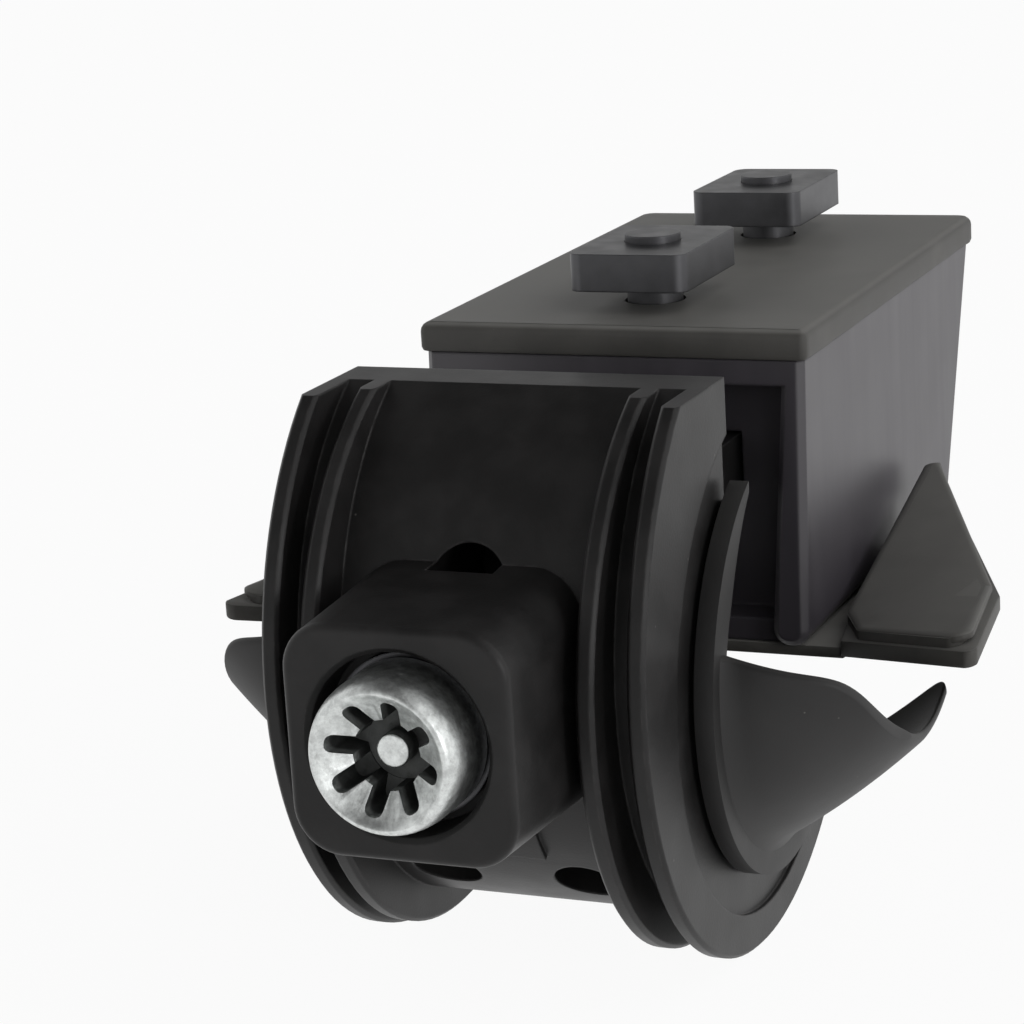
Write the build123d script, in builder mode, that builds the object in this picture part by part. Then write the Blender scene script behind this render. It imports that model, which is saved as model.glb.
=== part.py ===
# Roof bar foot for a raised roof rail.
#
# A moulded hook, the outer claw, is pulled inwards by one clamp bolt against a support
# that sits under the roof bar. The car's rail runs through the foot from side to side,
# between the rubber liner of the claw and the rubber jaw pad of the support.
#
# Frame: origin in the middle of the seat that meets the bar's underside, +Z up,
# +Y inwards along the bar, +X along the rail. All sizes are in millimetres.
# Places inside the foot are given from the drum axis, the line along X round which the
# flanges of the claw are drawn.
import os
from math import cos, radians, sin, sqrt

from build123d import *

os.makedirs("parts", exist_ok=True)

# Height of the bar's underside over the drum axis
bar_above_drum = 26.6

# Outer claw: four round flanges on a hollow drum
flange_r = 34.0
claw_half_width = 19.2
outer_flange_t = 1.8
inner_flange_r = 30.5
inner_flange_y = -4.8
inner_flange_z = -1.2
inner_flange_x = 12.9
inner_flange_t = 1.8
rim_edge = 0.35
drum_r = 29.8
claw_top_gap = 0.4
claw_top_end_y = -8.5
hook_end_angle = -50.0

# Mouth of the claw, off centre so that the drum is thick in front and thin below
mouth_r = 20.4
mouth_y = 0.5
mouth_z = -4.0

# Shallow step round the mouth on the outside of each outer flange
step_r = 26.2
step_depth = 0.5

# Bolt block on the front of the drum
block_front_y = -45.5
block_size = 22.0
block_corner_r = 4.6
block_draft = 2.5
block_root = 5.5
block_edge = 0.8
bolt_z = 0.3
counterbore_r = 8.7
counterbore_depth = 5.0
counterbore_edge = 0.5

# Vent above the block, a raised boss and two blind pockets below it
vent_z = 9.9
vent_d = 7.9
pocket_x = 7.5
pocket_angle = -133.5
pocket_d = 7.0
pocket_depth = 5.0
boss_half_width = 4.7
boss_rise = 0.5
boss_root = 1.5
boss_start_angle = -160.0
boss_end_angle = -143.5

# Guide arms that carry the claw in the support
arm_x = 8.2
arm_t = 4.0
arm_z = 9.0
arm_height = 5.5
arm_root = 6.0
arm_past_rib = 17.4
arm_end_round = 1.5
arm_clearance = 0.3

# Rubber liner of the claw with a spout at each side
fit_clearance = 0.15
liner_t = 2.0
lip_r = 22.0
lip_t = 1.9
lip_edge = 0.6
spout_bite = 0.55
spout_t = 1.4
spout_start_angle = 164.0
spout_end_angle = 325.0
spout_tip_x = 35.4
spout_rise = 11.9
spout_lean = 0.5
spout_tip_start_angle = 226.0
spout_tip_end_angle = 298.0

# Clamp bolt, its washer and its retaining ring
bolt_d = 6.0
bolt_hole_clearance = 0.35
head_d = 14.8
head_height = 7.6
head_round = 3.2
bolt_past_nut = 20.4
bolt_end_chamfer = 0.8
dish_d = 12.2
dish_depth = 2.0
socket_lobes = 8
socket_turn = 32.0
socket_tip_d = 11.0
socket_slot_w = 1.7
socket_core_d = 6.6
socket_depth = 5.4
pin_d = 3.2
pin_drop = 3.2
washer_d = 15.6
washer_t = 1.6
ring_d = 11.0
ring_t = 0.9
ring_mouth_w = 4.8
ring_clearance = 0.3
seat_clearance = 0.05

# Support under the bar: two cheeks, a deck, a floor and two cross ribs
support_half_width = 20.8
support_top_front_y = 11.4
support_top_rear_y = 80.6
support_bottom_front_y = 9.8
support_bottom_rear_y = 68.4
support_bottom_z = -6.4
cheek_t_top = 2.5
cheek_t_bottom = 3.9
cheek_bottom_round = 1.7
support_corner_r = 1.9
support_front_edge = 0.7
deck_t = 2.6
rear_wall_t = 2.6
floor_front_y = 11.6
floor_z = -6.4
floor_t = 2.4
rib_t = 2.6
rib_to_screw = 10.0
nut_wall = 2.0

# Square nut of the clamp bolt, captive in the front rib
nut_width = 10.0
nut_t = 5.0
thread_clearance = 0.05

# Rubber gasket on top of the support
gasket_t = 3.2
gasket_overhang = 0.5
gasket_bevel = 1.0

# Rubber jaw pad under the support with an ear at each side
pad_t = 1.3
pad_front_y = 11.4
pad_rear_round = 4.0
ear_gap = 1.8
ear_root_front_y = 17.8
ear_root_front_z = -4.8
ear_root_rear_y = 50.9
ear_root_rear_z = 3.2
ear_point_w = 1.7
ear_tip_out = 15.9
ear_tip_y = 20.0
ear_tip_z = -1.3
ear_nose_out = 18.7
ear_nose_y = -2.0
ear_nose_z = -0.5
ear_heel_out = 2.0
ear_heel_y = 10.8
ear_t = 2.9
ear_corner_r = 0.8
ear_web_t = 1.6

# Fixings to the bar: screws through the deck into nuts that slide in the bar's channel
fixing_pitch = 40.0
screw_d = 6.0
screw_hole_clearance = 0.3
screw_head_d = 10.5
screw_head_h = 3.4
screw_socket_af = 4.0
screw_socket_depth = 2.0
screw_washer_d = 12.5
screw_washer_t = 1.4
channel_lip_t = 2.4
channel_nut_length = 18.0
channel_nut_width = 13.0
channel_nut_t = 4.0
channel_nut_corner = 1.5
screw_past_nut = 0.8

# Values that follow from the sizes above
seat_behind_drum = (support_top_front_y + support_top_rear_y) / 2
front_screw_y = seat_behind_drum - fixing_pitch / 2
front_rib_y = front_screw_y - rib_to_screw
rear_rib_y = front_screw_y + rib_to_screw
claw_top_z = bar_above_drum - claw_top_gap
mouth_centre = (mouth_y, mouth_z)
gasket_z = bar_above_drum - gasket_t
deck_z = gasket_z - deck_t
bolt_seat_y = block_front_y + counterbore_depth
head_seat_y = bolt_seat_y - washer_t
head_front_y = head_seat_y - head_height
bolt_hole_r = bolt_d / 2 + bolt_hole_clearance
liner_outer_r = mouth_r - fit_clearance
liner_inner_r = liner_outer_r - liner_t
spout_base_r = liner_inner_r + spout_bite
lip_x = claw_half_width + fit_clearance
spout_x = lip_x + lip_t
pad_top_z = floor_z - fit_clearance
nut_y = front_rib_y + rib_t
bolt_end_y = nut_y + nut_t + bolt_past_nut
arm_end_y = rear_rib_y + rib_t + arm_past_rib
arm_pitch = 2 * arm_x + arm_t
ear_root_x = support_half_width + ear_gap
far = 4 * flange_r

# How far a cut runs past the face it opens, and how near a chosen edge lies to its place
cut_past = 1.0
near = 0.01


# Planes for the sketches
def side(x):
    """Plane across the rail at x, with Y to the right and Z up, from the drum axis."""
    return Plane(origin=(x, -seat_behind_drum, -bar_above_drum), x_dir=(0, 1, 0), z_dir=(1, 0, 0))


def front(y):
    """Plane that faces outwards at y, with X to the right and Z up, from the drum axis."""
    return Plane(origin=(0, y - seat_behind_drum, -bar_above_drum), x_dir=(1, 0, 0), z_dir=(0, -1, 0))


def level(z):
    """Level plane at z, with X to the right and Y inwards, from the drum axis."""
    return Plane(origin=(0, -seat_behind_drum, z - bar_above_drum), x_dir=(1, 0, 0), z_dir=(0, 0, 1))


def place(x, y, z):
    """Point given from the drum axis, in the part's frame."""
    return (x, y - seat_behind_drum, z - bar_above_drum)


def polar(centre, radius, angle):
    """Point on a circle in the side plane."""
    return (centre[0] + radius * cos(radians(angle)), centre[1] + radius * sin(radians(angle)))


# The hook is open towards the support, from the claw's upper end to its lower end
hook_opening = [
    (claw_top_end_y, far),
    (claw_top_end_y, mouth_z),
    mouth_centre,
    polar(mouth_centre, far, hook_end_angle),
    (far, far),
]


def hook_section(radius, y, z):
    """Hook-shaped section: a disc without the mouth, the opening and what meets the bar."""
    with Locations((y, z)):
        Circle(radius)
    with Locations(mouth_centre):
        Circle(mouth_r, mode=Mode.SUBTRACT)
    Polygon(*hook_opening, align=None, mode=Mode.SUBTRACT)
    with Locations((0, claw_top_z)):
        Rectangle(2 * far, far, align=(Align.CENTER, Align.MIN), mode=Mode.SUBTRACT)


def arc_band(centre, outer, thickness, start, end):
    """Closed band between two arcs of one centre."""
    inner = outer - thickness
    middle = (start + end) / 2
    with BuildLine() as outline:
        ThreePointArc(*[polar(centre, outer, a) for a in (start, middle, end)])
        Line(polar(centre, outer, end), polar(centre, inner, end))
        ThreePointArc(*[polar(centre, inner, a) for a in (end, middle, start)])
        Line(polar(centre, inner, start), polar(centre, outer, start))
    make_face(outline.edges())


# Outer claw
with BuildPart() as outer_claw:
    # Drum between the outer flanges
    with BuildSketch(side(0)):
        hook_section(drum_r, 0, 0)
    extrude(amount=claw_half_width, both=True)
    # Flanges, two at each side
    for sign in (1, -1):
        with BuildSketch(side(sign * claw_half_width)):
            hook_section(flange_r, 0, 0)
        extrude(amount=-sign * outer_flange_t)
        with BuildSketch(side(sign * inner_flange_x)):
            hook_section(inner_flange_r, inner_flange_y, inner_flange_z)
        extrude(amount=sign * inner_flange_t)
    # Shallow step round the mouth
    for sign in (1, -1):
        with BuildSketch(side(sign * claw_half_width)):
            with Locations(mouth_centre):
                Circle(step_r)
        extrude(amount=-sign * step_depth, mode=Mode.SUBTRACT)
    # Broken rims of the flanges
    rims = outer_claw.edges().filter_by(GeomType.CIRCLE).filter_by(
        lambda edge: min(abs(edge.radius - flange_r), abs(edge.radius - inner_flange_r)) < near
    )
    chamfer(rims, rim_edge)
    # Bolt block with draft, run into the drum
    with BuildSketch(front(block_front_y)):
        with Locations((0, bolt_z)):
            RectangleRounded(block_size, block_size, block_corner_r)
    extrude(amount=-(-drum_r + block_root - block_front_y), taper=-block_draft)
    front_edges = outer_claw.edges().filter_by_position(
        Axis.Y, block_front_y - seat_behind_drum - near, block_front_y - seat_behind_drum + near
    )
    fillet(front_edges, block_edge)
    # Guide arms
    for sign in (1, -1):
        with BuildSketch(side(sign * arm_x)):
            arm_start_y = mouth_y - sqrt(mouth_r**2 - (arm_z - mouth_z) ** 2) - arm_root
            with Locations((arm_start_y, arm_z)):
                Rectangle(arm_end_y - arm_start_y, arm_height, align=Align.MIN)
            end_corners = vertices().sort_by(Axis.Y)[-2:]
            fillet(end_corners, arm_end_round)
        extrude(amount=sign * arm_t)
    # Counterbore and bolt hole
    with BuildSketch(front(block_front_y)):
        with Locations((0, bolt_z)):
            Circle(counterbore_r)
    extrude(amount=-counterbore_depth, mode=Mode.SUBTRACT)
    bore_edge = outer_claw.edges().filter_by(GeomType.CIRCLE).filter_by_position(
        Axis.Y, block_front_y - seat_behind_drum - near, block_front_y - seat_behind_drum + near
    )
    bore_edge = bore_edge.sort_by(SortBy.RADIUS)[-1:]
    chamfer(bore_edge, counterbore_edge)
    with BuildSketch(front(bolt_seat_y)):
        with Locations((0, bolt_z)):
            Circle(bolt_hole_r)
    extrude(amount=-(mouth_y - bolt_seat_y), mode=Mode.SUBTRACT)
    # Vent above the block
    with BuildSketch(front(-drum_r)):
        with Locations((0, vent_z)):
            Circle(vent_d / 2)
    extrude(amount=-(drum_r + mouth_y), mode=Mode.SUBTRACT)
    # Raised boss and blind pockets below the block
    with BuildSketch(side(0)):
        arc_band((0, 0), drum_r + boss_rise, boss_rise + boss_root, boss_start_angle, boss_end_angle)
    extrude(amount=boss_half_width, both=True)
    pocket_mouth = polar((0, 0), drum_r + cut_past, pocket_angle)
    pocket_axis = (0, *polar((0, 0), 1, pocket_angle))
    with BuildSketch(Plane(origin=place(0, *pocket_mouth), x_dir=(1, 0, 0), z_dir=pocket_axis)):
        with Locations((-pocket_x, 0), (pocket_x, 0)):
            Circle(pocket_d / 2)
    extrude(amount=-(pocket_depth + cut_past), mode=Mode.SUBTRACT)
outer_claw.part.label = "outer_claw"
export_step(outer_claw.part, "parts/outer_claw.step")

# One spout of the liner: a trough that rises towards its tip
spout_base_x = spout_x - lip_t / 2
spout_run = Vector(spout_tip_x - spout_base_x, spout_lean, spout_rise)
spout_base_centre = Vector(*place(spout_base_x, mouth_y, mouth_z))


def spout_cut(base_angle, tip_angle):
    """Plane that trims one edge of the spout, through its base corner and its tip corner."""
    middle = (base_angle + tip_angle) / 2
    radial = Vector(0, cos(radians(middle)), sin(radians(middle)))
    base_corner = Vector(0, *polar((0, 0), spout_base_r, base_angle))
    tip_corner = Vector(0, *polar((0, 0), spout_base_r, tip_angle)) + spout_run
    along = tip_corner - base_corner
    return Plane(origin=spout_base_centre + base_corner, x_dir=radial, z_dir=along.cross(radial))


with BuildPart() as spout:
    with BuildSketch(side(spout_base_x)):
        arc_band(mouth_centre, spout_base_r, spout_t, spout_start_angle, spout_end_angle)
    extrude(amount=spout_run.length, dir=spout_run.normalized())
    split(bisect_by=spout_cut(spout_start_angle, spout_tip_start_angle), keep=Keep.TOP)
    split(bisect_by=spout_cut(spout_end_angle, spout_tip_end_angle), keep=Keep.BOTTOM)

# Rubber liner of the claw
with BuildPart() as claw_liner:
    # Curved wall inside the mouth
    with BuildSketch(side(0)):
        with Locations(mouth_centre):
            Circle(liner_outer_r)
            Circle(liner_inner_r, mode=Mode.SUBTRACT)
        Polygon(*hook_opening, align=None, mode=Mode.SUBTRACT)
    extrude(amount=lip_x, both=True)
    # Lip over the face of each outer flange
    for sign in (1, -1):
        with BuildSketch(side(sign * lip_x)):
            with Locations(mouth_centre):
                Circle(lip_r)
                Circle(liner_inner_r, mode=Mode.SUBTRACT)
            Polygon(*hook_opening, align=None, mode=Mode.SUBTRACT)
        extrude(amount=sign * lip_t)
    lip_edges = claw_liner.edges().filter_by(GeomType.CIRCLE).filter_by(
        lambda edge: abs(edge.radius - lip_r) < near and abs(abs(edge.center().X) - spout_x) < near
    )
    chamfer(lip_edges, lip_edge)
    # Spouts
    add(spout.part)
    mirror(spout.part, about=Plane.YZ)
    # Hole for the bolt and notches for the guide arms
    with BuildSketch(front(-flange_r)):
        with Locations((0, bolt_z)):
            Circle(bolt_hole_r)
        with Locations((-arm_pitch / 2, arm_z - arm_clearance), (arm_pitch / 2, arm_z - arm_clearance)):
            Rectangle(arm_t + 2 * arm_clearance, far, align=(Align.CENTER, Align.MIN))
    extrude(amount=-flange_r, mode=Mode.SUBTRACT)
claw_liner.part.label = "claw_liner"
export_step(claw_liner.part, "parts/claw_liner.step")

# Clamp bolt with a domed security head
with BuildPart() as clamp_bolt:
    with BuildSketch(front(head_seat_y)):
        with Locations((0, bolt_z)):
            Circle(head_d / 2)
    extrude(amount=head_height)
    head_edge = clamp_bolt.edges().sort_by(Axis.Y)[:1]
    fillet(head_edge, head_round)
    # Conical dish with a star socket round a pin
    for y, d in ((head_front_y, dish_d), (head_front_y + dish_depth, socket_core_d)):
        with BuildSketch(front(y)):
            with Locations((0, bolt_z)):
                Circle(d / 2)
    loft(ruled=True, mode=Mode.SUBTRACT)
    with BuildSketch(front(head_front_y)):
        with Locations((0, bolt_z)):
            Circle(socket_core_d / 2)
            with PolarLocations((socket_tip_d - socket_slot_w) / 4, socket_lobes, start_angle=socket_turn):
                SlotOverall((socket_tip_d + socket_slot_w) / 2, socket_slot_w)
    extrude(amount=-socket_depth, mode=Mode.SUBTRACT)
    with BuildSketch(front(head_front_y + socket_depth)):
        with Locations((0, bolt_z)):
            Circle(pin_d / 2)
    extrude(amount=socket_depth - pin_drop)
    # Shank
    with BuildSketch(front(head_seat_y)):
        with Locations((0, bolt_z)):
            Circle(bolt_d / 2)
    extrude(amount=-(bolt_end_y - head_seat_y))
    bolt_tip = clamp_bolt.edges().sort_by(Axis.Y)[-1:]
    chamfer(bolt_tip, bolt_end_chamfer)
clamp_bolt.part.label = "clamp_bolt"
export_step(clamp_bolt.part, "parts/clamp_bolt.step")

# Washer under the bolt's head
with BuildPart() as bolt_washer:
    with BuildSketch(front(bolt_seat_y)):
        with Locations((0, bolt_z)):
            Circle(washer_d / 2)
            Circle(bolt_hole_r, mode=Mode.SUBTRACT)
    extrude(amount=washer_t - seat_clearance)
bolt_washer.part.label = "bolt_washer"
export_step(bolt_washer.part, "parts/bolt_washer.step")

# Open ring that keeps the bolt in the claw
ring_top_z = bolt_z + ring_d / 2
ring_y = mouth_y - sqrt(liner_inner_r**2 - (ring_top_z - mouth_z) ** 2) + ring_clearance
with BuildPart() as bolt_retainer:
    with BuildSketch(front(ring_y)):
        with Locations((0, bolt_z)):
            Circle(ring_d / 2)
            Circle(bolt_d / 2 + thread_clearance, mode=Mode.SUBTRACT)
        with Locations((0, bolt_z)):
            Rectangle(ring_mouth_w, ring_d, align=(Align.CENTER, Align.MAX), mode=Mode.SUBTRACT)
    extrude(amount=-ring_t)
bolt_retainer.part.label = "bolt_retainer"
export_step(bolt_retainer.part, "parts/bolt_retainer.step")


# Support body
with BuildPart() as support_body:
    with BuildSketch(side(0)):
        Polygon(
            (support_top_front_y, gasket_z),
            (support_bottom_front_y, support_bottom_z),
            (support_bottom_rear_y, support_bottom_z),
            (support_top_rear_y, gasket_z),
            align=None,
        )
    extrude(amount=support_half_width, both=True)
    # Rounded rear corners and rounded lower edges of the cheeks
    rear_edges = support_body.edges().filter_by(lambda edge: abs(edge.tangent_at(0.5).X) < near)
    rear_edges = rear_edges.filter_by(lambda edge: abs(edge.tangent_at(0.5).Z) > 0.5).sort_by(Axis.Y)[-2:]
    fillet(rear_edges, support_corner_r)
    # Hollow, wider at the deck than at the floor
    hollow_length = support_bottom_rear_y - rear_wall_t - support_bottom_front_y
    with BuildSketch(level(support_bottom_z)):
        with Locations((0, support_bottom_front_y - cut_past)):
            Rectangle(
                2 * (support_half_width - cheek_t_bottom),
                hollow_length + cut_past,
                align=(Align.CENTER, Align.MIN),
            )
    with BuildSketch(level(deck_z)):
        slope = (support_top_rear_y - support_bottom_rear_y) / (gasket_z - support_bottom_z)
        rear_shift = slope * (deck_z - support_bottom_z)
        with Locations((0, support_bottom_front_y - cut_past)):
            Rectangle(
                2 * (support_half_width - cheek_t_top),
                hollow_length + cut_past + rear_shift,
                align=(Align.CENTER, Align.MIN),
            )
    loft(ruled=True, mode=Mode.SUBTRACT)
    lower_edges = support_body.edges().filter_by(Axis.Y)
    lower_edges = lower_edges.filter_by_position(
        Axis.Z, support_bottom_z - bar_above_drum - near, support_bottom_z - bar_above_drum + near
    )
    fillet(lower_edges, cheek_bottom_round)
    outer_edges = support_body.edges().filter_by(
        lambda edge: abs(edge.center().X) > support_half_width - near and abs(edge.tangent_at(0.5).Z) > 0.5
    )
    chamfer(outer_edges.group_by(Axis.Y)[0], support_front_edge)
    # Floor, set back from the front of the cheeks
    with BuildSketch(level(floor_z)):
        with Locations((0, floor_front_y)):
            Rectangle(
                2 * support_half_width - cheek_t_bottom,
                support_bottom_rear_y - rear_wall_t / 2 - floor_front_y,
                align=(Align.CENTER, Align.MIN),
            )
    extrude(amount=floor_t)
    # Cross ribs and the nut's housing
    for rib_y in (front_rib_y, rear_rib_y):
        with BuildSketch(front(rib_y)):
            with BuildLine():
                Polyline(
                    (-(support_half_width - cheek_t_bottom / 2), floor_z + floor_t / 2),
                    (support_half_width - cheek_t_bottom / 2, floor_z + floor_t / 2),
                    (support_half_width - cheek_t_top / 2, gasket_z - deck_t / 2),
                    (-(support_half_width - cheek_t_top / 2), gasket_z - deck_t / 2),
                    close=True,
                )
            make_face()
        extrude(amount=-rib_t)
    housing_top_z = bolt_z + nut_width / 2 + fit_clearance + nut_wall
    with BuildSketch(front(nut_y)):
        with Locations((0, floor_z + floor_t / 2)):
            Rectangle(
                nut_width + 2 * (fit_clearance + nut_wall),
                housing_top_z - floor_z - floor_t / 2,
                align=(Align.CENTER, Align.MIN),
            )
    extrude(amount=-(nut_t + seat_clearance))
    with BuildSketch(front(nut_y)):
        with Locations((0, bolt_z)):
            Rectangle(nut_width + 2 * fit_clearance, nut_width + 2 * fit_clearance)
    extrude(amount=-(nut_t + seat_clearance), mode=Mode.SUBTRACT)
    # Bolt passage and windows for the guide arms
    with BuildSketch(front(front_rib_y - cut_past)):
        with Locations((0, bolt_z)):
            Circle(bolt_hole_r)
        with Locations((-arm_pitch / 2, arm_z - arm_clearance), (arm_pitch / 2, arm_z - arm_clearance)):
            Rectangle(
                arm_t + 2 * arm_clearance,
                arm_height + 2 * arm_clearance,
                align=(Align.CENTER, Align.MIN),
            )
    extrude(amount=-(rear_rib_y + rib_t - front_rib_y + 2 * cut_past), mode=Mode.SUBTRACT)
    # Holes for the fixings to the bar
    with BuildSketch(Plane.XY):
        with GridLocations(0, fixing_pitch, 1, 2):
            Circle(screw_d / 2 + screw_hole_clearance)
    extrude(amount=-(gasket_t + deck_t + cut_past), mode=Mode.SUBTRACT)
support_body.part.label = "support_body"
export_step(support_body.part, "parts/support_body.step")

# Square nut held in the housing behind the front rib
with BuildPart() as clamp_nut:
    with BuildSketch(front(nut_y + seat_clearance)):
        with Locations((0, bolt_z)):
            Rectangle(nut_width, nut_width)
            Circle(bolt_d / 2 + thread_clearance, mode=Mode.SUBTRACT)
    extrude(amount=-nut_t)
clamp_nut.part.label = "clamp_nut"
export_step(clamp_nut.part, "parts/clamp_nut.step")

# Rubber gasket between the support and the bar
with BuildPart() as bar_gasket:
    with BuildSketch(level(gasket_z)):
        with Locations((0, support_top_front_y - gasket_overhang)):
            Rectangle(
                2 * (support_half_width + gasket_overhang),
                support_top_rear_y - support_top_front_y + 2 * gasket_overhang,
                align=(Align.CENTER, Align.MIN),
            )
        fillet(vertices().sort_by(Axis.Y)[-2:], support_corner_r)
    extrude(amount=gasket_t)
    under_edges = bar_gasket.faces().sort_by(Axis.Z)[0].edges()
    chamfer(under_edges, length=gasket_bevel, length2=gasket_overhang)
    with BuildSketch(Plane.XY):
        with GridLocations(0, fixing_pitch, 1, 2):
            Circle(screw_d / 2 + screw_hole_clearance)
    extrude(amount=-gasket_t, mode=Mode.SUBTRACT)
bar_gasket.part.label = "bar_gasket"
export_step(bar_gasket.part, "parts/bar_gasket.step")

# Rubber jaw pad: a sheet under the floor that rises into a folded ear at each side
root_front = Vector(*place(ear_root_x, ear_root_front_y, ear_root_front_z))
root_rear = Vector(*place(ear_root_x, ear_root_rear_y, ear_root_rear_z))
ear_tip = Vector(*place(ear_root_x + ear_tip_out, ear_tip_y, ear_tip_z))
ear_nose = Vector(*place(ear_root_x + ear_nose_out, ear_nose_y, ear_nose_z))
ear_heel = Vector(*place(ear_root_x + ear_heel_out, ear_heel_y, ear_nose_z))
ear_point = Vector(*place(ear_root_x + ear_point_w, ear_root_rear_y, ear_root_rear_z))


def ear_plane(third):
    """Plane of one half of the ear's top, through the fold and a third corner."""
    fold = ear_tip - root_front
    upward = fold.cross(third - root_front)
    return Plane(origin=root_front, x_dir=fold, z_dir=upward if upward.Z > 0 else -upward)


def under_plane(plane, corner):
    """Place in a sloping plane that lies above or below a corner."""
    rise = (plane.origin - corner).dot(plane.z_dir) / plane.z_dir.Z
    local = plane.to_local_coords(corner + Vector(0, 0, rise))
    return (local.X, local.Y)


with BuildPart() as jaw_pad:
    with BuildSketch(level(pad_top_z)):
        with Locations((0, pad_front_y)):
            Rectangle(
                2 * (ear_root_x + ear_web_t),
                ear_root_rear_y - pad_front_y,
                align=(Align.CENTER, Align.MIN),
            )
        fillet(vertices().sort_by(Axis.Y)[-2:], pad_rear_round)
    extrude(amount=-pad_t)
    # Side wall that carries the ear
    with BuildSketch(side(ear_root_x)):
        Polygon(
            (ear_root_front_y, ear_root_front_z - ear_t / 2),
            (ear_root_front_y, pad_top_z - pad_t / 2),
            (ear_root_rear_y - pad_rear_round, pad_top_z - pad_t / 2),
            (ear_root_rear_y - pad_rear_round, ear_root_rear_z - ear_t / 2),
            align=None,
        )
    halves = [extrude(amount=ear_web_t)]
    # Ear in two flat halves that meet in a fold
    for third, outline in (
        (ear_nose, (root_front, ear_heel, ear_nose, ear_tip)),
        (root_rear, (root_front, ear_tip, ear_point, root_rear)),
    ):
        slope = ear_plane(third)
        with BuildSketch(slope):
            Polygon(*[under_plane(slope, corner) for corner in outline], align=None)
        halves.append(extrude(amount=ear_t, dir=(0, 0, -1)))
    for half in halves:
        mirror(half, about=Plane.YZ)
    outer_corners = jaw_pad.edges().filter_by(Axis.Z).filter_by(
        lambda edge: abs(edge.center().X) > ear_root_x + ear_heel_out + near
    )
    fillet(outer_corners, ear_corner_r)
jaw_pad.part.label = "jaw_pad"
export_step(jaw_pad.part, "parts/jaw_pad.step")

# Screws of the bar with their washers under the deck
washer_z = deck_z - seat_clearance
head_z = washer_z - screw_washer_t - seat_clearance
nut_z = bar_above_drum + channel_lip_t
with BuildPart() as bar_washers:
    with BuildSketch(Plane.XY.offset(washer_z - bar_above_drum)):
        with GridLocations(0, fixing_pitch, 1, 2):
            Circle(screw_washer_d / 2)
            Circle(screw_d / 2 + screw_hole_clearance, mode=Mode.SUBTRACT)
    extrude(amount=-screw_washer_t)
bar_washers.part.label = "bar_washers"
export_step(bar_washers.part, "parts/bar_washers.step")

with BuildPart() as bar_screws:
    with BuildSketch(Plane.XY.offset(head_z - bar_above_drum)):
        with GridLocations(0, fixing_pitch, 1, 2):
            Circle(screw_head_d / 2)
    extrude(amount=-screw_head_h)
    with BuildSketch(Plane.XY.offset(head_z - screw_head_h - bar_above_drum)):
        with GridLocations(0, fixing_pitch, 1, 2):
            RegularPolygon(screw_socket_af / 2, 6, major_radius=False)
    extrude(amount=screw_socket_depth, mode=Mode.SUBTRACT)
    with BuildSketch(Plane.XY.offset(head_z - bar_above_drum)):
        with GridLocations(0, fixing_pitch, 1, 2):
            Circle(screw_d / 2)
    extrude(amount=nut_z + channel_nut_t + screw_past_nut - head_z)
bar_screws.part.label = "bar_screws"
export_step(bar_screws.part, "parts/bar_screws.step")

# Nuts that slide in the bar's lower channel
with BuildPart() as channel_nuts:
    with BuildSketch(Plane.XY.offset(channel_lip_t)):
        with GridLocations(0, fixing_pitch, 1, 2):
            RectangleRounded(channel_nut_width, channel_nut_length, channel_nut_corner)
            Circle(screw_d / 2 + thread_clearance, mode=Mode.SUBTRACT)
    extrude(amount=channel_nut_t)
channel_nuts.part.label = "channel_nuts"
export_step(channel_nuts.part, "parts/channel_nuts.step")
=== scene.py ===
from math import atan2, cos, degrees, pi, radians, sin, sqrt, tan

import bpy
from bpy.props import FloatProperty, FloatVectorProperty, IntProperty, PointerProperty
from mathutils import Matrix, Vector


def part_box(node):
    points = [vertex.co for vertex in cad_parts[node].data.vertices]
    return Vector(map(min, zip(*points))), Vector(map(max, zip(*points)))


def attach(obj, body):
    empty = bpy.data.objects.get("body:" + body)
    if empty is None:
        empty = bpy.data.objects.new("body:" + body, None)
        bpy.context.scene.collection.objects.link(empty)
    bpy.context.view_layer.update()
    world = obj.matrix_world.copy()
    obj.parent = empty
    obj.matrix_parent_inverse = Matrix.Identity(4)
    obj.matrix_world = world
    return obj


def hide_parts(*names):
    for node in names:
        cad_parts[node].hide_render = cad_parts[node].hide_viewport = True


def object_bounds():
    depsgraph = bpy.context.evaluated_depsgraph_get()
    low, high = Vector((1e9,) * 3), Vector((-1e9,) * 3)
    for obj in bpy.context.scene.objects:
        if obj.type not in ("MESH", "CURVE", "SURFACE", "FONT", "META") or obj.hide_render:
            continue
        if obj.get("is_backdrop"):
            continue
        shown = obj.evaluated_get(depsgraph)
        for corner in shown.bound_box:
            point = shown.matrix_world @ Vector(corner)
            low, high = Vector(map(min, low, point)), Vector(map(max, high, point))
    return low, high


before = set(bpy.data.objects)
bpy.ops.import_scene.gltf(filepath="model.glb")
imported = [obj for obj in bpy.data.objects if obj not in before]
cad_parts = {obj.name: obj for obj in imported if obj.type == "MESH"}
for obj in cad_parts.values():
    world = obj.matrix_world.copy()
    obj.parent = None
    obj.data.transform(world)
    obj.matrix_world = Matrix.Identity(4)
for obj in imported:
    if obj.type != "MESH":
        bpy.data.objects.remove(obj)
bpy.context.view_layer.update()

bl_info = {
    "name": "Roof bar foot",
    "version": (1, 0, 0),
    "blender": (4, 5, 0),
    "location": "View3D > Sidebar > Roof bar foot",
    "description": "Rubber, steel and moulded plastic of a clamping foot for a roof bar",
    "category": "Object",
}

# One millimetre in Blender's metres, and how near counts as the same place
MM = 0.001
NEAR = 0.1 * MM

# The drum axis of the claw, from which the millimetres below are given
DRUM_Y = -46.0
DRUM_Z = -26.6
SIDES = (1, -1)

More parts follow.
